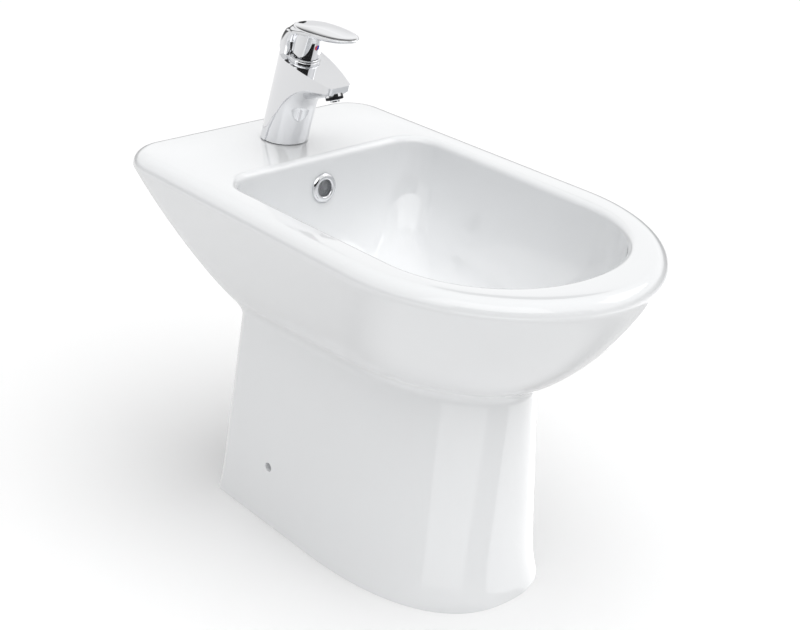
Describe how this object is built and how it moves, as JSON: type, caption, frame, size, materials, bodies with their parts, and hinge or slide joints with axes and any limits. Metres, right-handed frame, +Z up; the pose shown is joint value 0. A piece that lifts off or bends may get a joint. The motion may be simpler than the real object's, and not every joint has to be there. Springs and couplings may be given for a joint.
{
  "type": "floor standing bidet",
  "caption": "White floor standing china bidet with an oval-nosed basin, single-lever chrome mixer with swivel nozzle, push-open waste and bottle trap.",
  "frame": {"origin": "middle of the bounding box on the floor, under the bidet", "axes": "+Z up, -Y towards the front of the bidet, +Y towards the wall, +X to the right seen from the front"},
  "size_m": [0.355, 0.586, 0.538],
  "materials": {
    "china": "gloss",
    "chrome": "polished",
    "rubber": "matt",
    "steel": "zinc plated",
    "brass": "turned",
    "plastic": "moulded",
    "disc_ceramic": "lapped",
    "red_plastic": "gloss",
    "blue_plastic": "gloss"
  },
  "bodies": {
    "bidet": {"ceramic_pedestal": "china", "ceramic_bowl": "china", "ceramic_deck": "china", "overflow_ring": "chrome", "tap_body": "chrome", "tap_base_seal": "rubber", "fixing_stud": "steel", "fixing_rubber_washer": "rubber", "fixing_plate": "steel", "fixing_nut": "steel", "cartridge_seal": "rubber", "cartridge_housing": "plastic", "fixed_disc": "disc_ceramic", "cartridge_nut": "brass", "shroud_ring": "chrome", "nozzle_collar": "chrome", "nozzle_washer": "rubber", "waste_body": "chrome", "waste_top_seal": "rubber", "waste_lower_seal": "rubber", "waste_washer": "plastic", "waste_backnut": "brass", "click_guide": "plastic", "click_spring": "steel", "trap_inlet_pipe": "plastic", "trap_inlet_washer": "rubber", "trap_inlet_nut": "chrome", "trap_neck_washer": "rubber", "trap_neck_nut": "chrome", "trap_body": "chrome", "trap_cup_seal": "rubber", "trap_cup": "chrome", "trap_outlet_washer": "rubber", "trap_outlet_nut": "chrome", "trap_outlet_pipe": "chrome"},
    "mixer": {"cartridge_carrier": "plastic", "pivot_pin": "steel"},
    "lever": {"lever_stem": "brass", "lever_handle": "chrome", "grub_screw": "steel", "index_red": "red_plastic", "index_blue": "blue_plastic"},
    "disc": {"moving_disc": "disc_ceramic"},
    "nozzle_seat": {"nozzle_seat_ring": "plastic"},
    "nozzle": {"nozzle_ball": "chrome", "aerator_screen": "plastic"},
    "plug": {"plug_stem": "brass", "plug_cap": "chrome", "plug_seal": "rubber"}
  },
  "joints": [
    {"name": "mix_turn", "type": "hinge", "parent": "bidet", "child": "mixer", "pos_m": [0, 0.18687, 0.50504], "axis": [0, -0.2672, 0.9636], "range_deg": [-45, 45]},
    {"name": "flow_lift", "type": "hinge", "parent": "mixer", "child": "lever", "pos_m": [0, 0.18687, 0.50504], "axis": [-1, 0, 0], "range_deg": [0, 18]},
    {"name": "disc_slide", "type": "slide", "parent": "mixer", "child": "disc", "axis": [0, -0.9636, -0.2672], "range_m": [0, 0.0058]},
    {"name": "nozzle_swivel", "type": "hinge", "parent": "bidet", "child": "nozzle_seat", "pos_m": [0, 0.13608, 0.47025], "axis": [0, 0.342, 0.9397], "continuous": true},
    {"name": "nozzle_tilt", "type": "hinge", "parent": "nozzle_seat", "child": "nozzle", "pos_m": [0, 0.13608, 0.47025], "axis": [1, 0, 0], "range_deg": [-12, 12]},
    {"name": "plug_travel", "type": "slide", "parent": "bidet", "child": "plug", "axis": [0, 0, 1], "range_m": [0, 0.008], "deforming": ["click_spring"]}
  ],
  "couplings": [
    {"joint": "disc_slide", "follows": "flow_lift", "m_per_rad": 0.0182}
  ]
}
